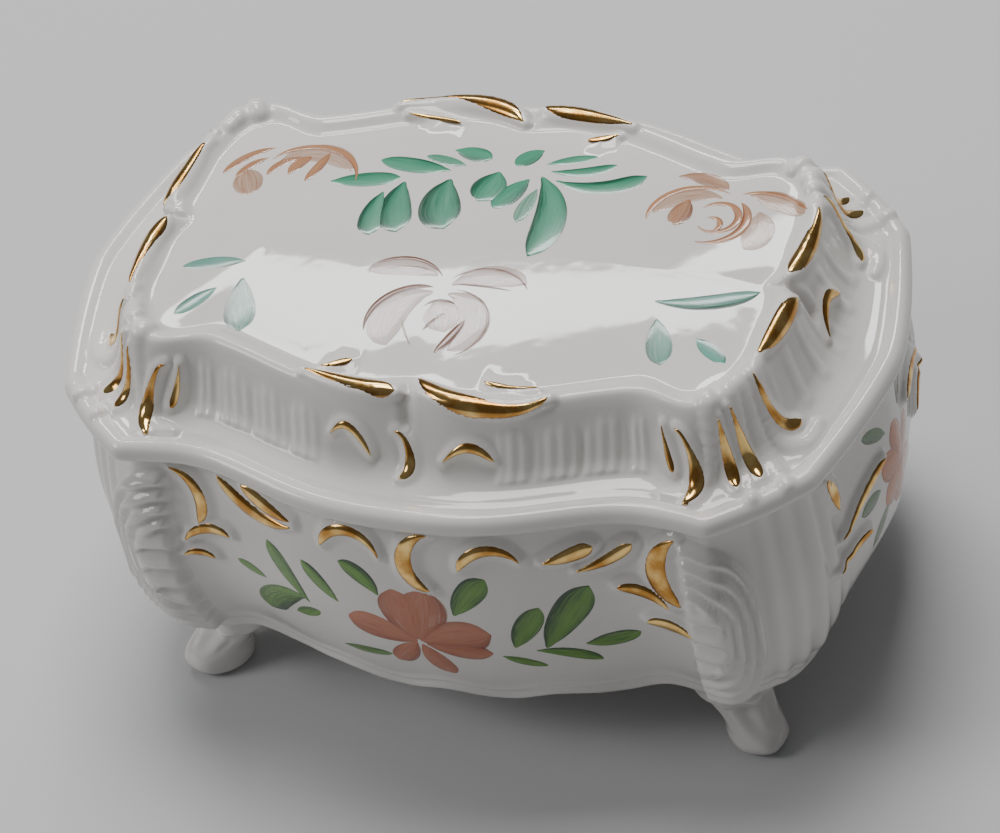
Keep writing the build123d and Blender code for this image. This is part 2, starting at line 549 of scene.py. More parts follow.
def lid_surface(x, y):
    """The lid's carved top over plan places."""
    return lid_base(x, y) + lid_relief(x, y)[..., None] * normals_of(lid_base, x, y)


# %% [markdown]
# The bowl's carving is counted by bearing and height. A ribbed shell stands on each corner
# above its foot, shallow reeds run down the canted corner, and a scrolled apron edges the base.

# %% The bowl's relief
shell_place, shell_level = 57.5, 48.0
shell_reach, shell_rise, shell_rib = 13.0, 25.0, 0.155
lobe_level, lobe_pitch, squareness = 40, 6.5, 2.6
reeds_from, reeds_to, reed_start, reed_pitch = 74, 92, 75, 5.0
apron_level, apron_wave, apron_pitch = 20.5, 1.6, 24

bowl_lines = ridge_lines(bowl_base, bowl_strokes)


def bowl_relief(bearing, height):
    """Height of the carving over the bowl's smooth outside.

    The shell's ribs are a cosine of a rounded-square distance from its heart, and its lobes
    are a rectified sine of the height. The apron is a bead whose line waves with the bearing.
    """
    b = np.mod(bearing + lap / 2, lap) - lap / 2
    f = fold(b)
    raised = tongues(bowl_base(b, height), bowl_lines, 1.1, 1.4)
    aside = np.abs((f - shell_place) / shell_reach) ** squareness
    above = np.abs((height - shell_level) / shell_rise) ** squareness
    far = (aside + above) ** (1 / squareness)
    inside = window(far, 0, 1.02, 0.08) * window(f, 59.5, 90, 2.5)
    ribs = 0.5 + 0.5 * np.cos(2 * np.pi * (far - 1) / shell_rib)
    lobes = np.abs(np.sin(np.pi * (height - lobe_level) / lobe_pitch)) ** 0.7
    shell = inside * (1.1 + np.where(far > 0.5, 1.9 * ribs, 1.9 * lobes))
    reeded = window(f, reeds_from, reeds_to, 4) * window(height, 26, 78, 6)
    reeds = 0.35 * reeded * np.cos(2 * np.pi * (f - reed_start) / reed_pitch)
    apron_line = apron_level + apron_wave * np.cos(2 * np.pi * f / apron_pitch)
    apron = 1.5 * bump(height, apron_line, 2.0) + 0.5 * bump(height, apron_line + 3.6, 0.9)
    return np.maximum(raised, shell) + reeds + apron


def bowl_surface(bearing, height):
    """The bowl's carved outside."""
    out = normals_of(bowl_base, bearing, height)
    return bowl_base(bearing, height) + bowl_relief(bearing, height)[..., None] * out


print("lid relief at a scroll", np.round(lid_relief(np.array([12.0]), np.array([-46.0])), 2))

# %% [markdown]
# Both castings become closed skins: rings of points that start on the spine inside, run over
# the top, round the rim and back underneath to the spine. A ring that shrinks onto the spine is
# welded there. Smooth shading lets the rings read as one surface.

# %% Meshes from rings of points
def make_mesh(name, points, faces, attributes=()):
    """Object whose mesh has these points, given in millimetres, and these four-sided faces.

    The faces are turned outward if the volume they enclose comes out negative. The volume is
    the sum of the triple products of each triangle's corners, over six.
    """
    points = np.asarray(points, float) * MM
    a, b, c, d = (points[faces[:, i]] for i in range(4))
    volume = (np.cross(a, b) * c).sum() + (np.cross(a, c) * d).sum()
    if volume < 0:
        faces = faces[:, ::-1]
    mesh = bpy.data.meshes.new(name)
    mesh.vertices.add(len(points))
    mesh.vertices.foreach_set("co", points.astype(np.float32).ravel())
    mesh.loops.add(faces.size)
    mesh.loops.foreach_set("vertex_index", faces.astype(np.int32).ravel())
    mesh.polygons.add(len(faces))
    mesh.polygons.foreach_set("loop_start", np.arange(0, faces.size, 4, dtype=np.int32))
    for label, values in attributes:
        layer = mesh.attributes.new(label, "FLOAT", "POINT")
        layer.data.foreach_set("value", np.asarray(values, np.float32).ravel())
    mesh.update(calc_edges=True)
    mesh.validate()
    mesh.shade_smooth()
    made = bpy.data.objects.new(name, mesh)
    bpy.context.scene.collection.objects.link(made)
    return made


def ring_faces(rings, columns):
    """Faces between neighbouring rings of a closed band, as rows of four point numbers."""
    ring = np.arange(rings - 1)[:, None]
    column = np.arange(columns)[None, :]
    following = (column + 1) % columns
    lower, upper = ring * columns, (ring + 1) * columns
    quads = [lower + column, lower + following, upper + following, upper + column]
    return np.stack(np.broadcast_arrays(*quads), axis=-1).reshape(-1, 4)


def weld(made, distance):
    """Join points that lie closer together than a distance in millimetres."""
    work = bmesh.new()
    work.from_mesh(made.data)
    bmesh.ops.remove_doubles(work, verts=work.verts, dist=distance * MM)
    bmesh.ops.dissolve_degenerate(work, edges=work.edges, dist=distance * MM)
    work.to_mesh(made.data)
    work.free()


def spread_of(points):
    """Lowest and highest coordinates of rings of points, in rounded millimetres."""
    return np.round(points.min(axis=(0, 1)), 1), np.round(points.max(axis=(0, 1)), 1)


def column_bearings(count):
    """Bearings of the columns: even along the sides and corners, and wider apart at the ends."""
    fine = np.arange(-lap / 2, lap / 2, 0.05)
    density = np.where(fold(fine) < 85, 1.0, 0.7)
    share = np.cumsum(density) / density.sum()
    return np.interp((np.arange(count) + 0.5) / count, share, fine)


# %% The lid
lid_columns = 888
bearing = column_bearings(lid_columns)[None, :]
border = border_inset(bearing)
rim = rim_reach(bearing)
crest_width = 5.5
panel = (rim - border - crest_width) * np.linspace(0, 1, 15)[:, None] ** 0.85
crest = rim - border - crest_width + crest_width * np.linspace(0, 1, 15)[1:, None]
cove = rim - border + (border - cove_start) * np.linspace(0, 1, 47)[1:, None]
roll = rim - cove_start * (1 - np.linspace(0, 1, 11)[1:, None] ** 0.8)
reach = np.concatenate([panel, crest, cove, roll])
foot, out_x, out_y = track(bearing)
plan_x, plan_y = foot + out_x * reach, out_y * reach
top = lid_base(plan_x, plan_y)
slope = np.cross(np.gradient(top, axis=1), np.gradient(top, axis=0))
slope /= np.linalg.norm(slope, axis=-1, keepdims=True) + 1e-9
slope *= np.sign(slope[..., 2:]) + (slope[..., 2:] == 0)
lid_carving = lid_relief(plan_x, plan_y)
clear_of_spine = (reach > 2)[..., None]
carved = top + np.where(clear_of_spine, lid_carving[..., None] * slope, 0)
hollow_inset, hollow_level = 13.3, 96.4
under = [(0.0, 81.4), (0.35, 80.6), (1.0, 80.1), (1.8, lip_level), (hollow_inset, lip_level)]
below = [(rim - inset, np.full_like(rim, level)) for inset, level in under]
for share in (0.33, 0.66, 1.0):
    level = lip_level + (hollow_level - lip_level) * share
    below.append((rim - hollow_inset - (border - 8) * share, np.full_like(rim, level)))
below.append((0 * rim, np.full_like(rim, hollow_level)))
beneath = np.concatenate([np.stack([foot + out_x * r, out_y * r, z], axis=-1) for r, z in below])
lid_points = np.concatenate([carved, beneath])
lid_relief_values = np.concatenate([lid_carving, np.zeros(beneath.shape[:2])])
lid_piece = make_mesh(
    "lid_casting", lid_points.reshape(-1, 3), ring_faces(len(lid_points), lid_columns),
    [("carving", lid_relief_values)],
)
weld(lid_piece, 0.002)
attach(lid_piece, "cover")
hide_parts("lid")
print("lid", len(lid_piece.data.polygons), "faces", *spread_of(lid_points))

# %% The bowl
bowl_columns = 756
bearing = column_bearings(bowl_columns)[None, :]
rim = rim_reach(bearing)
foot, out_x, out_y = track(bearing)
levels = np.linspace(base_level + 1.2, lip_level - 0.5, 88)[:, None] + 0 * bearing
outside = bowl_surface(np.broadcast_to(bearing, levels.shape), levels)
bowl_carving = bowl_relief(np.broadcast_to(bearing, levels.shape), levels)


def ring(inset, level):
    """Ring of points at one inset from the rim's outline, or on the spine where the inset is None."""
    reach = 0 * rim if inset is None else rim - inset
    return np.stack([foot + out_x * reach, out_y * reach, np.full_like(reach, level)], axis=-1)


base_inset = bowl_inset(bearing, base_level)
wall, floor_thickness = 4.0, 4.0
under_rings = [
    ring(None, base_level), ring(base_inset + 8, base_level), ring(base_inset + 2.0, base_level),
    ring(base_inset + 0.6, base_level + 0.3),
]
lip_rings = [
    ring(lip_inset + 0.3, lip_level - 0.1), ring(lip_inset + 0.9, lip_level),
    ring(lip_inset + wall - 0.6, lip_level), ring(lip_inset + wall, lip_level - 0.6),
]
inner_levels = [
    (76, 0), (68, 0), (58, 0), (50, 0), (42, 0), (33, 0.3), (26, 1.5), (22, 4), (20.3, 8), (20, 14),
]
inner_rings = [
    ring(bowl_inset(bearing, level + 1) + wall + extra, level)
    for level, extra in inner_levels
]
inner_rings.append(ring(None, base_level + floor_thickness))
bowl_points = np.concatenate(under_rings + [outside] + lip_rings + inner_rings)
zeros_before = np.zeros((len(under_rings), bowl_columns))
zeros_after = np.zeros((len(lip_rings) + len(inner_rings), bowl_columns))
bowl_piece = make_mesh(
    "bowl_casting", bowl_points.reshape(-1, 3), ring_faces(len(bowl_points), bowl_columns),
    [("carving", np.concatenate([zeros_before, bowl_carving, zeros_after]))],
)
weld(bowl_piece, 0.002)
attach(bowl_piece, "box")
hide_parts("bowl")
print("bowl", len(bowl_piece.data.polygons), "faces", *spread_of(bowl_points))

# %% [markdown]
# Each foot is a short scroll leg. It leaves the corner shell, narrows to an ankle and swells into
# a rounded toe that stands out diagonally. It is built as rings round a bent centre line, like a
# stack of slices, and it is closed by a single point at each end.

# %% The feet
foot_columns, foot_rings = 96, 64
foot_end_inset, foot_front_inset = 37.5, 31.5
foot_top = base_level + 3.0
foot_names = {
    "foot_front_left": (-1, -1), "foot_front_right": (1, -1),
    "foot_rear_left": (-1, 1), "foot_rear_right": (1, 1),
}
foot_out = [(0, 6.6), (2, 7.2), (5, 7.0), (8, 5.6), (11, 3.6), (14, 1.6), (19, 0.2)]
foot_forward = [(0, 5.9), (2, 6.4), (5, 6.1), (8, 5.0), (11, 3.2), (14, 1.4), (19, 0.1)]
foot_along = [(0, 5.2), (0.8, 7.0), (2.6, 8.2), (5, 7.9), (8, 6.6), (11, 6.9), (14, 8.2), (19, 9.6)]
foot_across = [(0, 4.6), (0.8, 5.8), (2.6, 6.4), (5, 6.3), (8, 6.4), (11, 7.4), (14, 9.4), (19, 10.4)]


def foot_points(end, back):
    """Rings of one foot at its corner, as an array of points.

    Every ring is an ellipse turned along the splay, with its size and centre read from curves
    of the height. Reeds, a cosine of the angle, fade in towards the top, and a ledge crosses
    the ankle. The top ends inside the thickness of the bowl's floor.
    """
    middle = np.array([end * (half_length - foot_end_inset), back * (half_depth - foot_front_inset)])
    height = foot_top * np.linspace(0, 1, foot_rings) ** 1.25
    angle = np.linspace(0, 2 * np.pi, foot_columns, endpoint=False)[None, :]
    h = height[:, None]
    splay = np.arctan2(back * 0.66, end * 0.75)
    facing = np.clip(np.cos(angle), 0, 1)
    reeds = 0.55 * window(h, 9.5, 30, 4) * np.cos(8 * angle) * facing
    ledge = 0.9 * bump(h, 13.6, 1.0) * facing - 0.6 * bump(h, 11.6, 0.8) * facing
    swirl = 0.35 * bump(h, 4.5, 3) * np.cos(5 * angle + 0.5 * h) * facing
    along = curve(h, foot_along) + reeds + ledge + swirl
    across = curve(h, foot_across) + reeds + ledge + swirl
    local_x, local_y = along * np.cos(angle), across * np.sin(angle)
    x = middle[0] + end * curve(h, foot_out) + local_x * np.cos(splay) - local_y * np.sin(splay)
    y = middle[1] + back * curve(h, foot_forward) + local_x * np.sin(splay) + local_y * np.cos(splay)
    rings = np.stack([x, y, np.broadcast_to(h, x.shape)], axis=-1)
    caps = [np.broadcast_to(rings[i].mean(axis=0), rings[i].shape)[None] for i in (0, -1)]
    return np.concatenate([caps[0], rings, caps[1]])


for name, (end, back) in foot_names.items():
    points = foot_points(end, back)
    foot_piece = make_mesh(
        name.replace("foot", "china_foot"), points.reshape(-1, 3), ring_faces(len(points), foot_columns),
        [("carving", np.zeros(points.shape[:2]))],
    )
    weld(foot_piece, 0.002)
    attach(foot_piece, "box")
    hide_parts(name)
    print(name, *spread_of(points))

# %% [markdown]
# Gold lustre and enamel are painted on the fired glaze and fired again. Each stroke is a thin
# closed lens laid over the carved surface. It is thickest in the middle, its rim is sunk just
# under the glaze, and its ends are rounded by the brush.

# %% Laying a stroke on a surface
def drape(base, surface, path, widths, thickness, rows, columns, lift=0.0, blunt=10):
    """Closed lens over a surface: its rings of points, their shares along and across, its length.

    The centre line is widened sideways by the half width, converted to the surface's own
    coordinates by how far the smooth base moves for a small step aside. The half width closes
    at both ends as the root of one less a high power of the length share. The lens stands out
    along the normal by a thickness times one less the square of the sideways share.
    """
    places, width, run = stroke_line(path, widths, rows)
    heading = np.gradient(places, run, axis=0)
    heading /= np.hypot(*heading.T)[:, None] + 1e-9
    step = 0.2
    aside = np.column_stack([-heading[:, 1], heading[:, 0]]) * step
    spread = base(*(places + aside).T) - base(*(places - aside).T)
    width = width * 2 * step / np.linalg.norm(spread, axis=-1)
    share = run / run[-1]
    closing = np.sqrt(np.clip(1 - np.abs(2 * share - 1) ** blunt, 0, 1))
    across = np.sin(np.linspace(-np.pi / 2, np.pi / 2, columns))
    side = across[None, :] * (width * closing / 2)[:, None]
    u = places[:, :1] - heading[:, 1:] * side
    v = places[:, 1:] + heading[:, :1] * side
    skin = surface(u, v)
    outward = normals_of(surface, u, v)
    rise = (lift + thickness * (1 - across[None, :] ** 2) * closing[:, None] - 0.04)[..., None]
    upper, lower = skin + outward * rise, skin - outward * 0.08
    loop = np.concatenate([upper, lower[:, -2:0:-1]], axis=1)
    along_values = np.broadcast_to(share[:, None], loop.shape[:2])
    across_values = np.concatenate([across, across[-2:0:-1]])[None, :] + 0 * along_values
    return loop, along_values, across_values, run[-1]


def join_strokes(name, base, surface, strokes, thickness, rows, columns):
    """One object from many strokes, with each point's share along and across its stroke."""
    points, faces, along_all, across_all, start = [], [], [], [], 0
    for path, widths in strokes:
        loop, along, across, _ = drape(base, surface, path, widths, thickness, rows, columns)
        around = loop.shape[1]
        points.append(loop.reshape(-1, 3))
        faces.append(ring_faces(rows, around) + start)
        along_all.append(along.ravel())
        across_all.append(across.ravel())
        start += loop.shape[0] * around
    made = make_mesh(
        name, np.concatenate(points), np.concatenate(faces),
        [("along", np.concatenate(along_all)), ("across", np.concatenate(across_all))],
    )
    weld(made, 0.0005)
    print(name, len(strokes), "strokes", len(made.data.polygons), "faces")
    return made


# %% The gilding
lid_gilding = join_strokes("gold_on_the_lid", lid_base, lid_surface, lid_strokes, 0.34, 40, 11)
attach(lid_gilding, "cover")
bowl_gilding = join_strokes("gold_on_the_bowl", bowl_base, bowl_surface, bowl_strokes, 0.36, 40, 11)
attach(bowl_gilding, "box")

# %% [markdown]
# The painter loaded the brush with two colours, so one edge of a stroke comes out deep and the
# other pale. Two numbers at the end of each row say this: how much colour the stroke holds, and
# which edge is deep and how strongly. They are worked out at every point of the lens and stored
# there, and the enamels' material reads them.

# %% Enamel strokes
def enamel(name, base, surface, brushed, rows=36, columns=17, thickness=0.10):
    """One object from stroke rows that end with a share of colour and a deep edge.

    The deep edge is a share from -1, the right of the heading, to 1, the left. The depth grows
    towards it as the square, and towards both rims as the cube.
    """
    strokes = [stroke(*row) for row in brushed]
    points, faces, wash, deep, along_all, across_all, start = [], [], [], [], [], [], 0
    for number, (path, widths, body, edge) in enumerate(strokes):
        lift = 0.012 * (number % 5)
        loop, along, across, length = drape(
            base, surface, path, widths, thickness, rows, columns, lift, 7
        )
        around = loop.shape[1]
        rim_fall = 1 - 0.25 * np.abs(across) ** 8
        colour = body * rim_fall
        toward = np.clip((across * np.sign(edge) + 1) / 2, 0, 1)
        dark = abs(edge) * (0.15 + 0.85 * toward**2) + 0.9 * abs(edge) * np.abs(across) ** 3
        points.append(loop.reshape(-1, 3))
        faces.append(ring_faces(rows, around) + start)
        wash.append(colour.ravel())
        deep.append(dark.ravel())
        along_all.append((along * length / 10 + 3.7 * number).ravel())
        across_all.append((across * np.max(widths) / 2).ravel())
        start += loop.shape[0] * around
    made = make_mesh(
        name, np.concatenate(points), np.concatenate(faces),
        [
            ("wash", np.concatenate(wash)), ("deep", np.concatenate(deep)),
            ("along", np.concatenate(along_all)), ("across", np.concatenate(across_all)),
        ],
    )
    weld(made, 0.0005)
    print(name, len(strokes), "strokes", len(made.data.polygons), "faces")
    return made


def painted(piece, body):
    """The piece, riding on a body."""
    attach(piece, body)
    return piece


# %% Painting on the lid: rows as for a stroke, then the share of colour and the deep edge
spray = [
    (-26.8, -5.8, 195, 16.5, -3, 6.2, 0.45, 0.95, -0.7),
    (-16.3, -1.9, 179, 17.5, -6, 5.8, 0.55, 0.9, -0.6),
    (-13.4, 0.2, 169, 10.5, 0, 3.2, 0.5, 0.75, 0.3),
    (-8.5, 3.4, 165, 9.5, 10, 4.8, 0.4, 0.95, 0.6),
    (-5.5, -0.5, 266, 10.5, -10, 8.0, 0.55, 0.95, -0.7),
    (-2.5, 1.9, 62, 8, -20, 6.0, 0.45, 0.95, -0.8),
    (2, -1.8, 246, 12, -4, 6.6, 0.6, 1.0, 0.9),
    (-29.3, -11, 262, 14.5, 28, 6.2, 0.72, 0.95, -0.9),
    (-25.6, -7, 266, 17, 32, 8.0, 0.7, 0.95, -1.0),
    (-15.5, -4.6, 260, 17, 46, 9.6, 0.62, 0.9, -1.0),
    (4.1, 3.4, 26, 12, -8, 3.4, 0.55, 0.85, 0.4),
    (5.8, 1.4, -4, 15.5, 44, 3.6, 0.6, 0.9, 0.7),
    (7.8, -1.4, -22, 22, 72, 5.2, 0.75, 0.95, 0.9),
    (4.8, -4.8, 262, 11.5, 4, 3.8, 0.6, 0.6, -0.2),
    (4.4, -0.6, 312, 27.5, -62, 7.6, 0.62, 0.95, -0.7),
]
sprigs = [
    (-48.8, -11.7, 190, 15, 6, 4.6, 0.5, 0.7, 0.6),
    (-52.8, -20.4, 232, 11.5, 0, 4.4, 0.55, 0.75, -0.7),
    (-48.1, -16.7, 284, 16, 6, 7.8, 0.68, 0.65, -0.8),
    (44.5, -9.5, -4, 23.5, 46, 4.6, 0.6, 0.8, -0.9),
    (46.6, -14.5, 290, 13.5, 0, 5.8, 0.62, 0.65, -0.5),
    (56.5, -18.7, -33, 10, -4, 4.8, 0.5, 0.95, 0.9),
]
right_rose = [
    (-14.5, 0, 75, 18, -95, 6.2, 0.45, 0.5, 0.1),
    (-15.3, -2.4, 100, 25, -130, 1.9, 0.45, 0.95, -0.6),
    (-7.7, 5.9, 262, 9, 4, 5.6, 0.6, 0.75, 0.8),
    (-12.5, 13.1, 14, 13, -50, 4.2, 0.55, 0.65, -0.6),
    (5.1, 9.5, 2, 14.5, -38, 6.0, 0.5, 0.5, 0.2),
    (2.9, 9.2, 28, 18.5, -80, 1.8, 0.45, 0.95, -0.6),
    (8.5, 4.6, 300, 13, -60, 8.2, 0.5, 0.42, 0.2),
    (-4.2, 3.4, 60, 24, -290, 1.9, 0.45, 0.9, -0.6),
    (-2.3, 0.6, 30, 8, -190, 1.4, 0.5, 0.9, 0.4),
    (3.8, 6.8, -40, 21, -150, 2.2, 0.4, 0.9, -0.6),
]
left_rose = [
    (-10, 0.5, -65, 9.5, 0, 9.0, 0.5, 0.55, 0.4),
    (-15.1, -1.8, 70, 14.5, -50, 2.7, 0.45, 0.85, -0.7),
    (-11.4, -2.8, 75, 9.5, -45, 2.4, 0.45, 0.8, -0.6),
    (-3, 3, 60, 21, -120, 6.5, 0.55, 0.45, 0.1),
    (-5, 4, 62, 30, -150, 1.8, 0.45, 0.95, -0.6),
    (-4.3, -1.5, 85, 11, -75, 2.5, 0.4, 0.85, -0.7),
    (0.5, -0.5, 85, 8, -40, 3.4, 0.5, 0.9, -0.6),
    (5, -2, 72, 11, 10, 2.7, 0.45, 0.9, -0.7),
]
middle_flower = [
    (-19, 3.5, 35, 17.5, -65, 7.5, 0.45, 0.55, 0.0),
    (1, 2, 45, 18, -70, 7.5, 0.55, 0.55, 0.0),
    (-2, -0.5, 195, 21, 115, 9.0, 0.6, 0.55, 0.0),
    (1, -0.5, -2, 22, -140, 7.5, 0.55, 0.55, 0.0),
    (-1, -3, -50, 10, -20, 8.0, 0.5, 0.45, 0.0),
]
middle_outline = [
    (-18, 5.5, 45, 19, -100, 1.6, 0.4, 0.85, -0.5),
    (-15.5, 4.5, 30, 12, -50, 0.6, 0.5, 0.6, 0.2),
    (0.5, 4, 52, 21, -110, 0.9, 0.5, 0.8, -0.3),
    (2, 2.5, 6, 13, -12, 0.6, 0.5, 0.6, 0.2),
    (-2.5, 1, 178, 22, 110, 1.9, 0.4, 0.85, 0.5),
    (-7, -8, 290, 10, 20, 0.6, 0.5, 0.6, 0.2),
    (2, 1, 2, 27, -150, 0.9, 0.5, 0.8, 0.3),
    (-3, -5, 60, 8, -95, 0.9, 0.5, 0.8, 0.3),
    (7.5, -7, -100, 11.5, -20, 2.6, 0.5, 0.9, 0.6),
    (-1, -12, 70, 7, -20, 1.0, 0.5, 0.75, 0.3),
]
roses = placed(right_rose, 50.5, 17) + placed(left_rose, -50, 17)
spray, middle_flower = placed(spray, 3.5, 25.5), placed(middle_flower, -2, -14)
middle_outline = placed(middle_outline, -2, -14)
lid_paint = {
    "emerald spray": (spray, "leaf_enamel"),
    "pale sprigs": (sprigs, "leaf_enamel"),
    "tan roses": (roses, "petal_enamel"),
    "middle flower": (middle_flower, "petal_enamel"),
    "middle flower outline": (middle_outline, "petal_enamel"),
}
paint_pieces = {}
for name, (strokes, slot_name) in lid_paint.items():
    piece = enamel(name.replace(" ", "_"), lid_base, lid_surface, strokes)
    paint_pieces[name] = painted(piece, "cover")

# %% Painting on the bowl: the front flower with its leaves, and the orange flower at each end
flower_level, end_level = 44.0, 52.0
front_flower = placed(
    [
        (-0.5, -0.5, 158, 17, 8, 11.5, 0.65, 0.95, 0.6),
        (-1, 0, 103, 17, -6, 11, 0.65, 0.85, 0.5),
        (0, 0, 74, 18, 8, 12, 0.65, 0.8, -0.5),
        (0, 0, 22, 17.5, -14, 11.5, 0.6, 0.9, -0.6),
        (1, -1, -8, 15, 4, 7, 0.6, 0.85, 0.6),
        (0, -1, -74, 14, 6, 7.6, 0.6, 0.85, 0.5),
        (-1, -0.5, 236, 12.5, 0, 6.8, 0.6, 0.9, 0.6),
    ],
    0, flower_level,
)
front_leaves = placed(
    [
        (-45, 8.5, -20, 8, 0, 3.9, 0.45, 0.9, 0.6),
        (-35, 19.5, -63, 18, 4, 5.6, 0.35, 0.95, 0.8),
        (-27, 5.5, 195, 20, 60, 8.4, 0.7, 1.0, 0.9),
        (-26, 18, -48, 12.5, -3, 4.2, 0.4, 0.95, 0.7),
        (-16, 21.5, -14, 12, -55, 4.6, 0.42, 1.0, 0.8),
        (-32, -3, 33, 9.5, 0, 4.2, 0.5, 0.95, 0.7),
        (9.5, 10.5, 64, 14, -22, 7.6, 0.65, 0.95, 0.9),
        (21, -0.5, 64, 15, -4, 6.6, 0.6, 0.95, 0.8),
        (27.5, -1.5, 64, 22, -10, 8.4, 0.68, 1.0, 0.9),
        (35.5, -1.5, 0, 12.5, 30, 5.0, 0.5, 0.95, 0.7),
        (17.5, -3.5, -32, 10.5, 0, 3.8, 0.5, 0.9, 0.6),
        (25, -2, -8, 15, -42, 4.6, 0.6, 0.95, 0.7),
        (-21.5, -10, 8, 13, 0, 3.8, 0.5, 0.85, 0.6),
    ],
    0, flower_level,
)
end_flower = [
    (lap / 4, end_level, heading, 12, 8, 8.4, 0.62, 0.9, 0.5)
    for heading in (28, 92, 150, 212, 264, 322)
]
left_leaves = placed(
    [
        (-5, 12, 142, 13, 10, 4.6, 0.5, 0.9, 0.8),
        (-12, 1, 176, 10, 0, 5.0, 0.5, 0.95, 0.8),
        (-8, -6, 222, 12, 0, 4.8, 0.5, 0.9, 0.7),
    ],
    lap / 4, end_level,
)
end_leaves = left_leaves + mirrored(left_leaves, lap / 4)

bowl_paint = {
    "front flower": (front_flower + carried(front_flower), "petal_enamel"),
    "front leaves": (front_leaves + carried(front_leaves), "leaf_enamel"),
    "end flower": (end_flower + carried(end_flower), "petal_enamel"),
    "end leaves": (end_leaves + carried(end_leaves), "leaf_enamel"),
}
for name, (strokes, slot_name) in bowl_paint.items():
    piece = enamel(name.replace(" ", "_"), bowl_base, bowl_surface, strokes)
    paint_pieces[name] = painted(piece, "box")

# %% [markdown]
# The finishes are four: a clear glossy glaze over slightly warm white china, bare china on the
# flange, gold lustre, and enamels that keep the stroke of the brush. Shared effects are node
# groups. The first gives the glaze its small drifts of tone, and paints shade into its colour,
# darker where the carving is low. The second gives brushed bristle streaks along a stroke.

# %% Node helpers
def new_material(name):
    """A material with a Principled surface, returned with its tree and that node."""
    material = bpy.data.materials.new(name)
    material.use_nodes = True
    tree = material.node_tree
    return material, tree, next(node for node in tree.nodes if node.type == "BSDF_PRINCIPLED")


def node(tree, kind, **settings):
    """Add a node and set its properties and its plain inputs by name."""
    made = tree.nodes.new(kind)
    for key, value in settings.items():
        if hasattr(made, key):
            setattr(made, key, value)
        else:
            made.inputs[key.replace("_", " ")].default_value = value
    return made


def new_group(name, inputs, outputs):
    """A node group with these sockets, returned with its two end nodes."""
    group = bpy.data.node_groups.new(name, "ShaderNodeTree")
    for label, kind, value in inputs:
        socket = group.interface.new_socket(label, in_out="INPUT", socket_type=kind)
        socket.default_value = value
    for label, kind in outputs:
        group.interface.new_socket(label, in_out="OUTPUT", socket_type=kind)
    return group, group.nodes.new("NodeGroupInput"), group.nodes.new("NodeGroupOutput")


def read(tree, label):
    """Node that reads a value stored at the points of the mesh."""
    return node(tree, "ShaderNodeAttribute", attribute_name=label)


def blend_colours(tree, share, first, second):
    """Mix two colours by a share; each argument is a socket or a plain value."""
    mixer = node(tree, "ShaderNodeMix", data_type="RGBA")
    for socket, value in zip((mixer.inputs[0], mixer.inputs[6], mixer.inputs[7]), (share, first, second)):
        if isinstance(value, bpy.types.NodeSocket):
            tree.links.new(value, socket)
        else:
            socket.default_value = value
    return mixer.outputs[2]


# %% Glaze tone and painted shade group
glaze_group, glaze_in, glaze_out = new_group(
    "glaze tone and recess shade",
    [
        ("Ware", "NodeSocketColor", (0.8, 0.8, 0.8, 1)),
        ("Pooled", "NodeSocketColor", (0.6, 0.6, 0.6, 1)),
        ("Carving", "NodeSocketFloat", 0.0),
    ],
    [("Color", "NodeSocketColor"), ("Roughness", "NodeSocketFloat"), ("Height", "NodeSocketFloat")],
)
place = node(glaze_group, "ShaderNodeTexCoord")
drift = node(glaze_group, "ShaderNodeTexNoise", Scale=26.0, Detail=3.0)
ripple = node(glaze_group, "ShaderNodeTexNoise", Scale=240.0, Detail=1.0)
for texture in (drift, ripple):
    glaze_group.links.new(place.outputs["Object"], texture.inputs["Vector"])
# Painted shade: the colour is pulled towards the shade colour where the carving is low, most in cuts, less
# on flat glaze and least on raised relief.
recess_shade = node(glaze_group, "ShaderNodeMapRange", From_Min=-0.7, From_Max=0.35, To_Min=0.55, To_Max=0.0)
glaze_group.links.new(glaze_in.outputs["Carving"], recess_shade.inputs["Value"])
spread = node(glaze_group, "ShaderNodeMapRange", From_Min=0.35, From_Max=0.7, To_Min=0.0, To_Max=0.22)
glaze_group.links.new(drift.outputs["Fac"], spread.inputs["Value"])
drift_and_shade = node(glaze_group, "ShaderNodeMath", operation="ADD", use_clamp=True)
glaze_group.links.new(recess_shade.outputs["Result"], drift_and_shade.inputs[0])
glaze_group.links.new(spread.outputs["Result"], drift_and_shade.inputs[1])
ware, shade_colour = glaze_in.outputs["Ware"], glaze_in.outputs["Pooled"]
tone_and_shade = blend_colours(glaze_group, drift_and_shade.outputs[0], ware, shade_colour)
gloss = node(glaze_group, "ShaderNodeMapRange", From_Min=0.3, From_Max=0.7, To_Min=0.03, To_Max=0.06)
glaze_group.links.new(drift.outputs["Fac"], gloss.inputs["Value"])
glaze_group.links.new(tone_and_shade, glaze_out.inputs["Color"])
glaze_group.links.new(gloss.outputs["Result"], glaze_out.inputs["Roughness"])
glaze_group.links.new(ripple.outputs["Fac"], glaze_out.inputs["Height"])

# %% Brush streak group
brush_group, brush_in, brush_out = new_group(
    "brush streaks",
    [
        ("Pale", "NodeSocketColor", (0.5, 0.8, 0.7, 1)),
        ("Deep", "NodeSocketColor", (0.1, 0.3, 0.2, 1)),
        ("Streak strength", "NodeSocketFloat", 0.5),
    ],
    [("Color", "NodeSocketColor"), ("Alpha", "NodeSocketFloat"), ("Height", "NodeSocketFloat")],
)
along, across, wash, deep = (read(brush_group, label) for label in ("along", "across", "wash", "deep"))
bristles = node(brush_group, "ShaderNodeCombineXYZ")
brush_group.links.new(along.outputs["Fac"], bristles.inputs["X"])
brush_group.links.new(across.outputs["Fac"], bristles.inputs["Y"])
stretch = node(brush_group, "ShaderNodeVectorMath", operation="MULTIPLY")
stretch.inputs[1].default_value = (0.8, 1.1, 1.0)
brush_group.links.new(bristles.outputs["Vector"], stretch.inputs[0])
streak = node(brush_group, "ShaderNodeTexNoise", Scale=1.6, Detail=3.0)
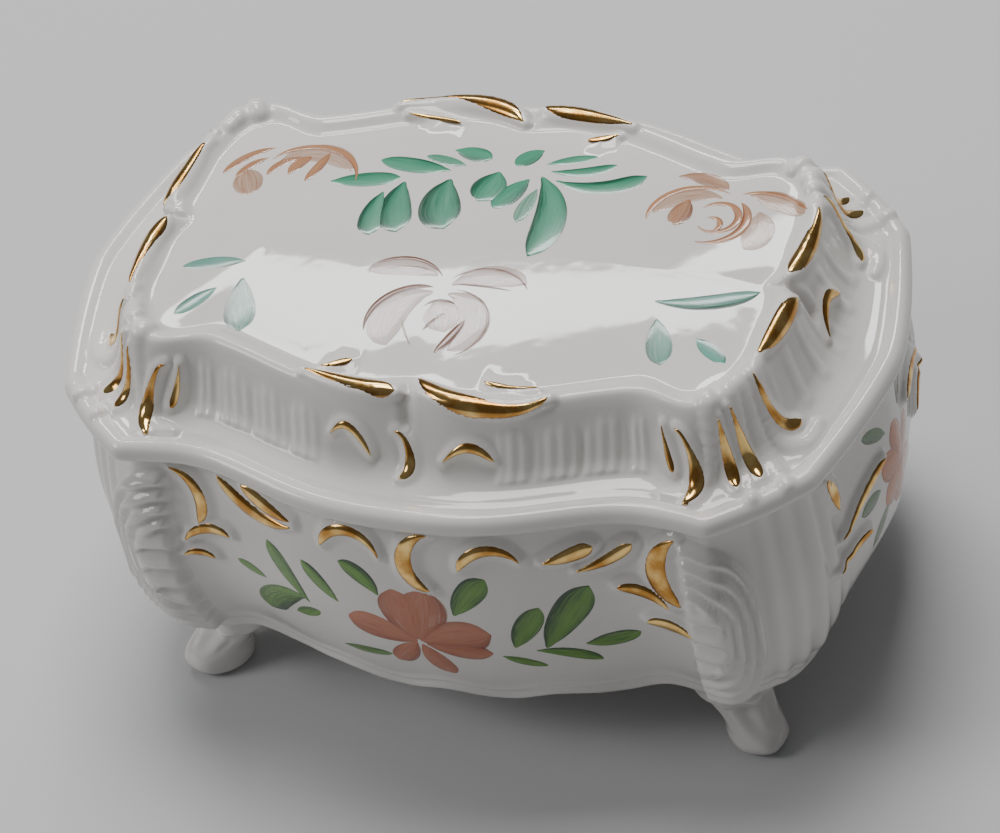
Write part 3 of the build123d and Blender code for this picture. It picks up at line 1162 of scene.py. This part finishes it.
brush_group.links.new(stretch.outputs["Vector"], streak.inputs["Vector"])
centred = node(brush_group, "ShaderNodeMapRange", From_Min=0.3, From_Max=0.7, To_Min=-0.5, To_Max=0.5)
brush_group.links.new(streak.outputs["Fac"], centred.inputs["Value"])
scaled_streak = node(brush_group, "ShaderNodeMath", operation="MULTIPLY")
brush_group.links.new(centred.outputs["Result"], scaled_streak.inputs[0])
brush_group.links.new(brush_in.outputs["Streak strength"], scaled_streak.inputs[1])
depth_share = node(brush_group, "ShaderNodeMath", operation="ADD", use_clamp=True)
brush_group.links.new(deep.outputs["Fac"], depth_share.inputs[0])
brush_group.links.new(scaled_streak.outputs[0], depth_share.inputs[1])
pale_in, deep_in = brush_in.outputs["Pale"], brush_in.outputs["Deep"]
brush_colour = blend_colours(brush_group, depth_share.outputs[0], pale_in, deep_in)
cover = node(brush_group, "ShaderNodeMath", operation="MULTIPLY_ADD", use_clamp=True)
brush_group.links.new(scaled_streak.outputs[0], cover.inputs[0])
cover.inputs[1].default_value = 0.6
brush_group.links.new(wash.outputs["Fac"], cover.inputs[2])
brush_group.links.new(brush_colour, brush_out.inputs["Color"])
brush_group.links.new(cover.outputs[0], brush_out.inputs["Alpha"])
brush_group.links.new(streak.outputs["Fac"], brush_out.inputs["Height"])


# %% Glazed china and bare china
def use_group(tree, group, **values):
    """Place a shared group in a material's tree with its inputs set."""
    made = node(tree, "ShaderNodeGroup", node_tree=group)
    for label, value in values.items():
        made.inputs[label.replace("_", " ")].default_value = value
    return made


def add_bump(tree, shader, height, strength, distance):
    """Fine height of a finish, in metres, on a shader's normal."""
    bumps = node(tree, "ShaderNodeBump", Strength=strength, Distance=distance)
    tree.links.new(height, bumps.inputs["Height"])
    tree.links.new(bumps.outputs["Normal"], shader.inputs["Normal"])


porcelain, tree, shader = new_material("glazed porcelain")
# The shade colour is painted shade, laid into the carving's hollows by the carving height.
tone = use_group(tree, glaze_group, Ware=(0.79, 0.775, 0.74, 1), Pooled=(0.60, 0.575, 0.53, 1))
tree.links.new(read(tree, "carving").outputs["Fac"], tone.inputs["Carving"])
tree.links.new(tone.outputs["Color"], shader.inputs["Base Color"])
tree.links.new(tone.outputs["Roughness"], shader.inputs["Roughness"])
shader.inputs["IOR"].default_value = 1.5
add_bump(tree, shader, tone.outputs["Height"], 0.05, 0.0004)
for piece in [lid_piece, bowl_piece] + [o for o in bpy.data.objects if o.name.startswith("china_foot")]:
    piece.data.materials.append(porcelain)

bare, tree, shader = new_material("bare porcelain")
# Bare china reads no carving, so its shade colour is mixed in at an even share with the drifts of tone.
tone = use_group(tree, glaze_group, Ware=(0.72, 0.69, 0.63, 1), Pooled=(0.58, 0.54, 0.48, 1))
tree.links.new(tone.outputs["Color"], shader.inputs["Base Color"])
shader.inputs["Roughness"].default_value = 0.62
add_bump(tree, shader, tone.outputs["Height"], 0.3, 0.0003)
flange = frame["nodes"]["lid_flange"]
flange.data.materials.clear()
flange.data.materials.append(bare)

# %% Gold lustre
lustre, tree, shader = new_material("gold lustre")
place = node(tree, "ShaderNodeTexCoord")
patches = node(tree, "ShaderNodeTexNoise", Scale=160.0, Detail=4.0)
tree.links.new(place.outputs["Object"], patches.inputs["Vector"])
patch_share = node(tree, "ShaderNodeMapRange", From_Min=0.40, From_Max=0.62, To_Min=0.0, To_Max=1.0)
tree.links.new(patches.outputs["Fac"], patch_share.inputs["Value"])
gold_body = blend_colours(tree, patch_share.outputs["Result"], (0.50, 0.25, 0.06, 1), (0.95, 0.66, 0.25, 1))
edge = node(tree, "ShaderNodeMath", operation="POWER")
size_across = node(tree, "ShaderNodeMath", operation="ABSOLUTE")
tree.links.new(read(tree, "across").outputs["Fac"], size_across.inputs[0])
tree.links.new(size_across.outputs[0], edge.inputs[0])
edge.inputs[1].default_value = 5.0
edge_colour = blend_colours(tree, edge.outputs[0], gold_body, (0.22, 0.08, 0.025, 1))
tree.links.new(edge_colour, shader.inputs["Base Color"])
shader.inputs["Metallic"].default_value = 1.0
polish = node(tree, "ShaderNodeMapRange", From_Min=0.35, From_Max=0.7, To_Min=0.22, To_Max=0.1)
tree.links.new(patches.outputs["Fac"], polish.inputs["Value"])
tree.links.new(polish.outputs["Result"], shader.inputs["Roughness"])
for piece in (lid_gilding, bowl_gilding):
    piece.data.materials.append(lustre)

# %% Enamels
enamel_colours = {
    "emerald spray": ((0.09, 0.40, 0.24, 1), (0.0, 0.085, 0.04, 1), 0.55),
    "pale sprigs": ((0.15, 0.46, 0.36, 1), (0.002, 0.10, 0.06, 1), 0.45),
    "tan roses": ((0.57, 0.29, 0.15, 1), (0.24, 0.07, 0.02, 1), 0.5),
    "middle flower": ((0.66, 0.52, 0.47, 1), (0.52, 0.37, 0.33, 1), 0.6),
    "middle flower outline": ((0.25, 0.11, 0.07, 1), (0.12, 0.04, 0.022, 1), 0.5),
    "front flower": ((0.62, 0.22, 0.11, 1), (0.24, 0.045, 0.02, 1), 0.9),
    "front leaves": ((0.15, 0.36, 0.03, 1), (0.004, 0.05, 0.004, 1), 0.9),
    "end flower": ((0.64, 0.20, 0.05, 1), (0.28, 0.05, 0.015, 1), 0.8),
    "end leaves": ((0.09, 0.22, 0.04, 1), (0.006, 0.045, 0.008, 1), 0.7),
}
for name, (pale, deep_colour, streaks) in enamel_colours.items():
    material, tree, shader = new_material("enamel of the " + name)
    strokes = use_group(tree, brush_group, Pale=pale, Deep=deep_colour, Streak_strength=streaks)
    tree.links.new(strokes.outputs["Color"], shader.inputs["Base Color"])
    tree.links.new(strokes.outputs["Alpha"], shader.inputs["Alpha"])
    shader.inputs["Roughness"].default_value = 0.16
    shader.inputs["Coat Weight"].default_value = 0.5
    shader.inputs["Coat Roughness"].default_value = 0.04
    add_bump(tree, shader, strokes.outputs["Height"], 0.15, 0.0001)
    paint_pieces[name].data.materials.append(material)
print(len(bpy.data.materials), "materials")

# %% [markdown]
# The box stands on a plain pale floor. A low, wide light behind and to the left is mirrored in
# the front half of the glazed panel, a soft one hangs overhead, and another fills from the left.
# The camera looks down at the front from the right, with a long lens and the horizon a little
# tilted.

# %% The floor
floor_mesh = bpy.data.meshes.new("floor")
floor_mesh.from_pydata([(-3, -3, 0), (3, -3, 0), (3, 3, 0), (-3, 3, 0)], [], [(0, 1, 2, 3)])
floor = bpy.data.objects.new("floor", floor_mesh)
bpy.context.scene.collection.objects.link(floor)
floor_material, tree, shader = new_material("floor")
shader.inputs["Base Color"].default_value = (0.60, 0.60, 0.61, 1)
shader.inputs["Roughness"].default_value = 0.7
floor.data.materials.append(floor_material)


# %% The lights
def soft_light(name, aim, azimuth, elevation, distance, size, power, colour):
    """Rectangular light at a distance from a point, in degrees round and up, facing that point."""
    turn, rise = np.radians(azimuth), np.radians(elevation)
    away = Vector((np.sin(turn) * np.cos(rise), -np.cos(turn) * np.cos(rise), np.sin(rise)))
    data = bpy.data.lights.new(name, "AREA")
    data.shape, data.size, data.size_y = "RECTANGLE", size[0], size[1]
    data.energy, data.color = power, colour
    light = bpy.data.objects.new(name, data)
    light.location = Vector(aim) + distance * away
    light.rotation_euler = away.to_track_quat("Z", "Y").to_euler()
    bpy.context.scene.collection.objects.link(light)
    return light


centre = (0, 0, 0.06)
soft_light("window", centre, 207, 47.5, 1.5, (1.0, 0.14), 7.5, (0.97, 0.985, 1.0))
soft_light("overhead", centre, 195, 74, 1.5, (0.7, 0.7), 17, (1.0, 0.985, 0.97))
soft_light("left fill", centre, -65, 35, 1.6, (0.6, 0.6), 7.5, (1.0, 1.0, 1.0))
world = bpy.data.worlds.new("room")
bpy.context.scene.world = world
world.use_nodes = True
background = next(item for item in world.node_tree.nodes if item.type == "BACKGROUND")
background.inputs["Color"].default_value = (0.80, 0.82, 0.85, 1)
background.inputs["Strength"].default_value = 0.15

# %% The camera
azimuth, elevation, roll = np.radians([26.8, 44.2, -12.2])
camera_distance, aim_right, aim_up = 1083, -2.9, 2.2
ahead = np.cos(elevation)
back = np.array([np.sin(azimuth) * ahead, -np.cos(azimuth) * ahead, np.sin(elevation)])
sideways = np.cross(-back, [0, 0, 1])
sideways /= np.linalg.norm(sideways)
upright = np.cross(sideways, -back)
right = np.cos(roll) * sideways + np.sin(roll) * upright
up = -np.sin(roll) * sideways + np.cos(roll) * upright
aim = np.array([0.49, 0.13, 46]) + aim_right * right + aim_up * up
camera_data = bpy.data.cameras.new("camera")
camera_data.sensor_width, camera_data.lens = 36, 172.7
camera = bpy.data.objects.new("camera", camera_data)
axes = Matrix([list(column) for column in np.array([right, up, back]).T]).to_4x4()
camera.matrix_world = Matrix.Translation(Vector((aim + camera_distance * back) * MM)) @ axes
bpy.context.scene.collection.objects.link(camera)
bpy.context.scene.camera = camera

# %% The end
bpy.context.view_layer.update()
